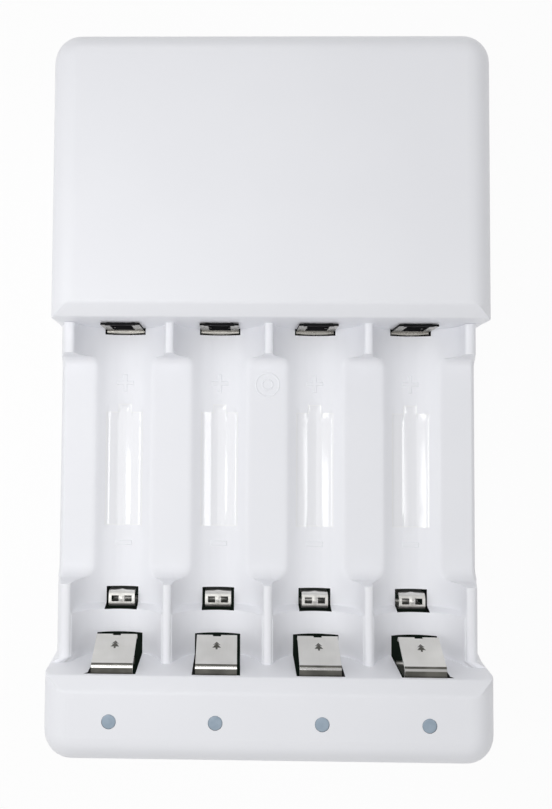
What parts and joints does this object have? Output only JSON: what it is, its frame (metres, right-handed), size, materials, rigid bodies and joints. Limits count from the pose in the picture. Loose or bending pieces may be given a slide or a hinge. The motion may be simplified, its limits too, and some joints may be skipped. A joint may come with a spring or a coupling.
{
  "type": "aa battery charger",
  "caption": "White wall charger for AA and AAA cells: power housing over open bays with sprung leaf contacts, indicator base with light pipes, and a folding two-blade plug at the back.",
  "frame": {"origin": "middle of the back face, which the charger lies on", "axes": "+X across the bays, +Y from the indicator base to the power housing, +Z from the back to the front"},
  "size_m": [0.0694, 0.1136, 0.027],
  "materials": {
    "white_plastic": "satin white moulding",
    "nickel_strip": "nickel plated spring strip",
    "light_pipe": "smoky translucent acrylic",
    "lamp_resin": "clear resin",
    "plug_brass": "nickel plated brass",
    "steel": "zinc plated",
    "board": "green solder mask",
    "black_plastic": "moulded black",
    "ferrite": "sintered ferrite",
    "winding_tape": "yellow film tape",
    "can_sleeve": "shrink sleeve",
    "fuse_body": "ceramic body"
  },
  "bodies": {
    "case": {"front_case": "white_plastic", "back_case": "white_plastic", "positive_contact_1": "nickel_strip", "positive_contact_2": "nickel_strip", "positive_contact_3": "nickel_strip", "positive_contact_4": "nickel_strip", "light_pipe_1": "light_pipe", "light_pipe_2": "light_pipe", "light_pipe_3": "light_pipe", "light_pipe_4": "light_pipe", "indicator_lamp_1": "lamp_resin", "indicator_lamp_2": "lamp_resin", "indicator_lamp_3": "lamp_resin", "indicator_lamp_4": "lamp_resin", "control_board": "board", "control_chip": "black_plastic", "link_header": "black_plastic", "power_board": "board", "transformer_core": "ferrite", "transformer_winding": "winding_tape", "mains_capacitor": "can_sleeve", "output_capacitor": "can_sleeve", "bridge_rectifier": "black_plastic", "mains_fuse": "fuse_body", "mains_terminal_left": "nickel_strip", "mains_terminal_right": "nickel_strip", "plug_pin": "steel", "case_screws": "steel", "board_screws": "steel"},
    "plug": {"plug_barrel": "white_plastic", "plug_blade_left": "plug_brass", "plug_blade_right": "plug_brass"},
    "aa_leaf_1": {"aa_contact_1": "nickel_strip"},
    "aa_leaf_2": {"aa_contact_2": "nickel_strip"},
    "aa_leaf_3": {"aa_contact_3": "nickel_strip"},
    "aa_leaf_4": {"aa_contact_4": "nickel_strip"},
    "aaa_leaf_1": {"aaa_contact_1": "nickel_strip"},
    "aaa_leaf_2": {"aaa_contact_2": "nickel_strip"},
    "aaa_leaf_3": {"aaa_contact_3": "nickel_strip"},
    "aaa_leaf_4": {"aaa_contact_4": "nickel_strip"}
  },
  "joints": [
    {"name": "plug_fold", "type": "hinge", "parent": "case", "child": "plug", "pos_m": [0, 0.046, 0.0046], "axis": [1, 0, 0], "range_deg": [0, 90]},
    {"name": "aa_leaf_flex_1", "type": "hinge", "parent": "case", "child": "aa_leaf_1", "pos_m": [-0.024, -0.0456, 0.00575], "axis": [1, 0, 0], "range_deg": [0, 8], "stiffness_Nm_per_rad": 0.1},
    {"name": "aa_leaf_flex_2", "type": "hinge", "parent": "case", "child": "aa_leaf_2", "pos_m": [-0.008, -0.0456, 0.00575], "axis": [1, 0, 0], "range_deg": [0, 8], "stiffness_Nm_per_rad": 0.1},
    {"name": "aa_leaf_flex_3", "type": "hinge", "parent": "case", "child": "aa_leaf_3", "pos_m": [0.008, -0.0456, 0.00575], "axis": [1, 0, 0], "range_deg": [0, 8], "stiffness_Nm_per_rad": 0.1},
    {"name": "aa_leaf_flex_4", "type": "hinge", "parent": "case", "child": "aa_leaf_4", "pos_m": [0.024, -0.0456, 0.00575], "axis": [1, 0, 0], "range_deg": [0, 8], "stiffness_Nm_per_rad": 0.1},
    {"name": "aaa_leaf_flex_1", "type": "hinge", "parent": "case", "child": "aaa_leaf_1", "pos_m": [-0.024, -0.035, 0.00575], "axis": [1, 0, 0], "range_deg": [0, 9], "stiffness_Nm_per_rad": 0.05},
    {"name": "aaa_leaf_flex_2", "type": "hinge", "parent": "case", "child": "aaa_leaf_2", "pos_m": [-0.008, -0.035, 0.00575], "axis": [1, 0, 0], "range_deg": [0, 9], "stiffness_Nm_per_rad": 0.05},
    {"name": "aaa_leaf_flex_3", "type": "hinge", "parent": "case", "child": "aaa_leaf_3", "pos_m": [0.008, -0.035, 0.00575], "axis": [1, 0, 0], "range_deg": [0, 9], "stiffness_Nm_per_rad": 0.05},
    {"name": "aaa_leaf_flex_4", "type": "hinge", "parent": "case", "child": "aaa_leaf_4", "pos_m": [0.024, -0.035, 0.00575], "axis": [1, 0, 0], "range_deg": [0, 9], "stiffness_Nm_per_rad": 0.05}
  ]
}
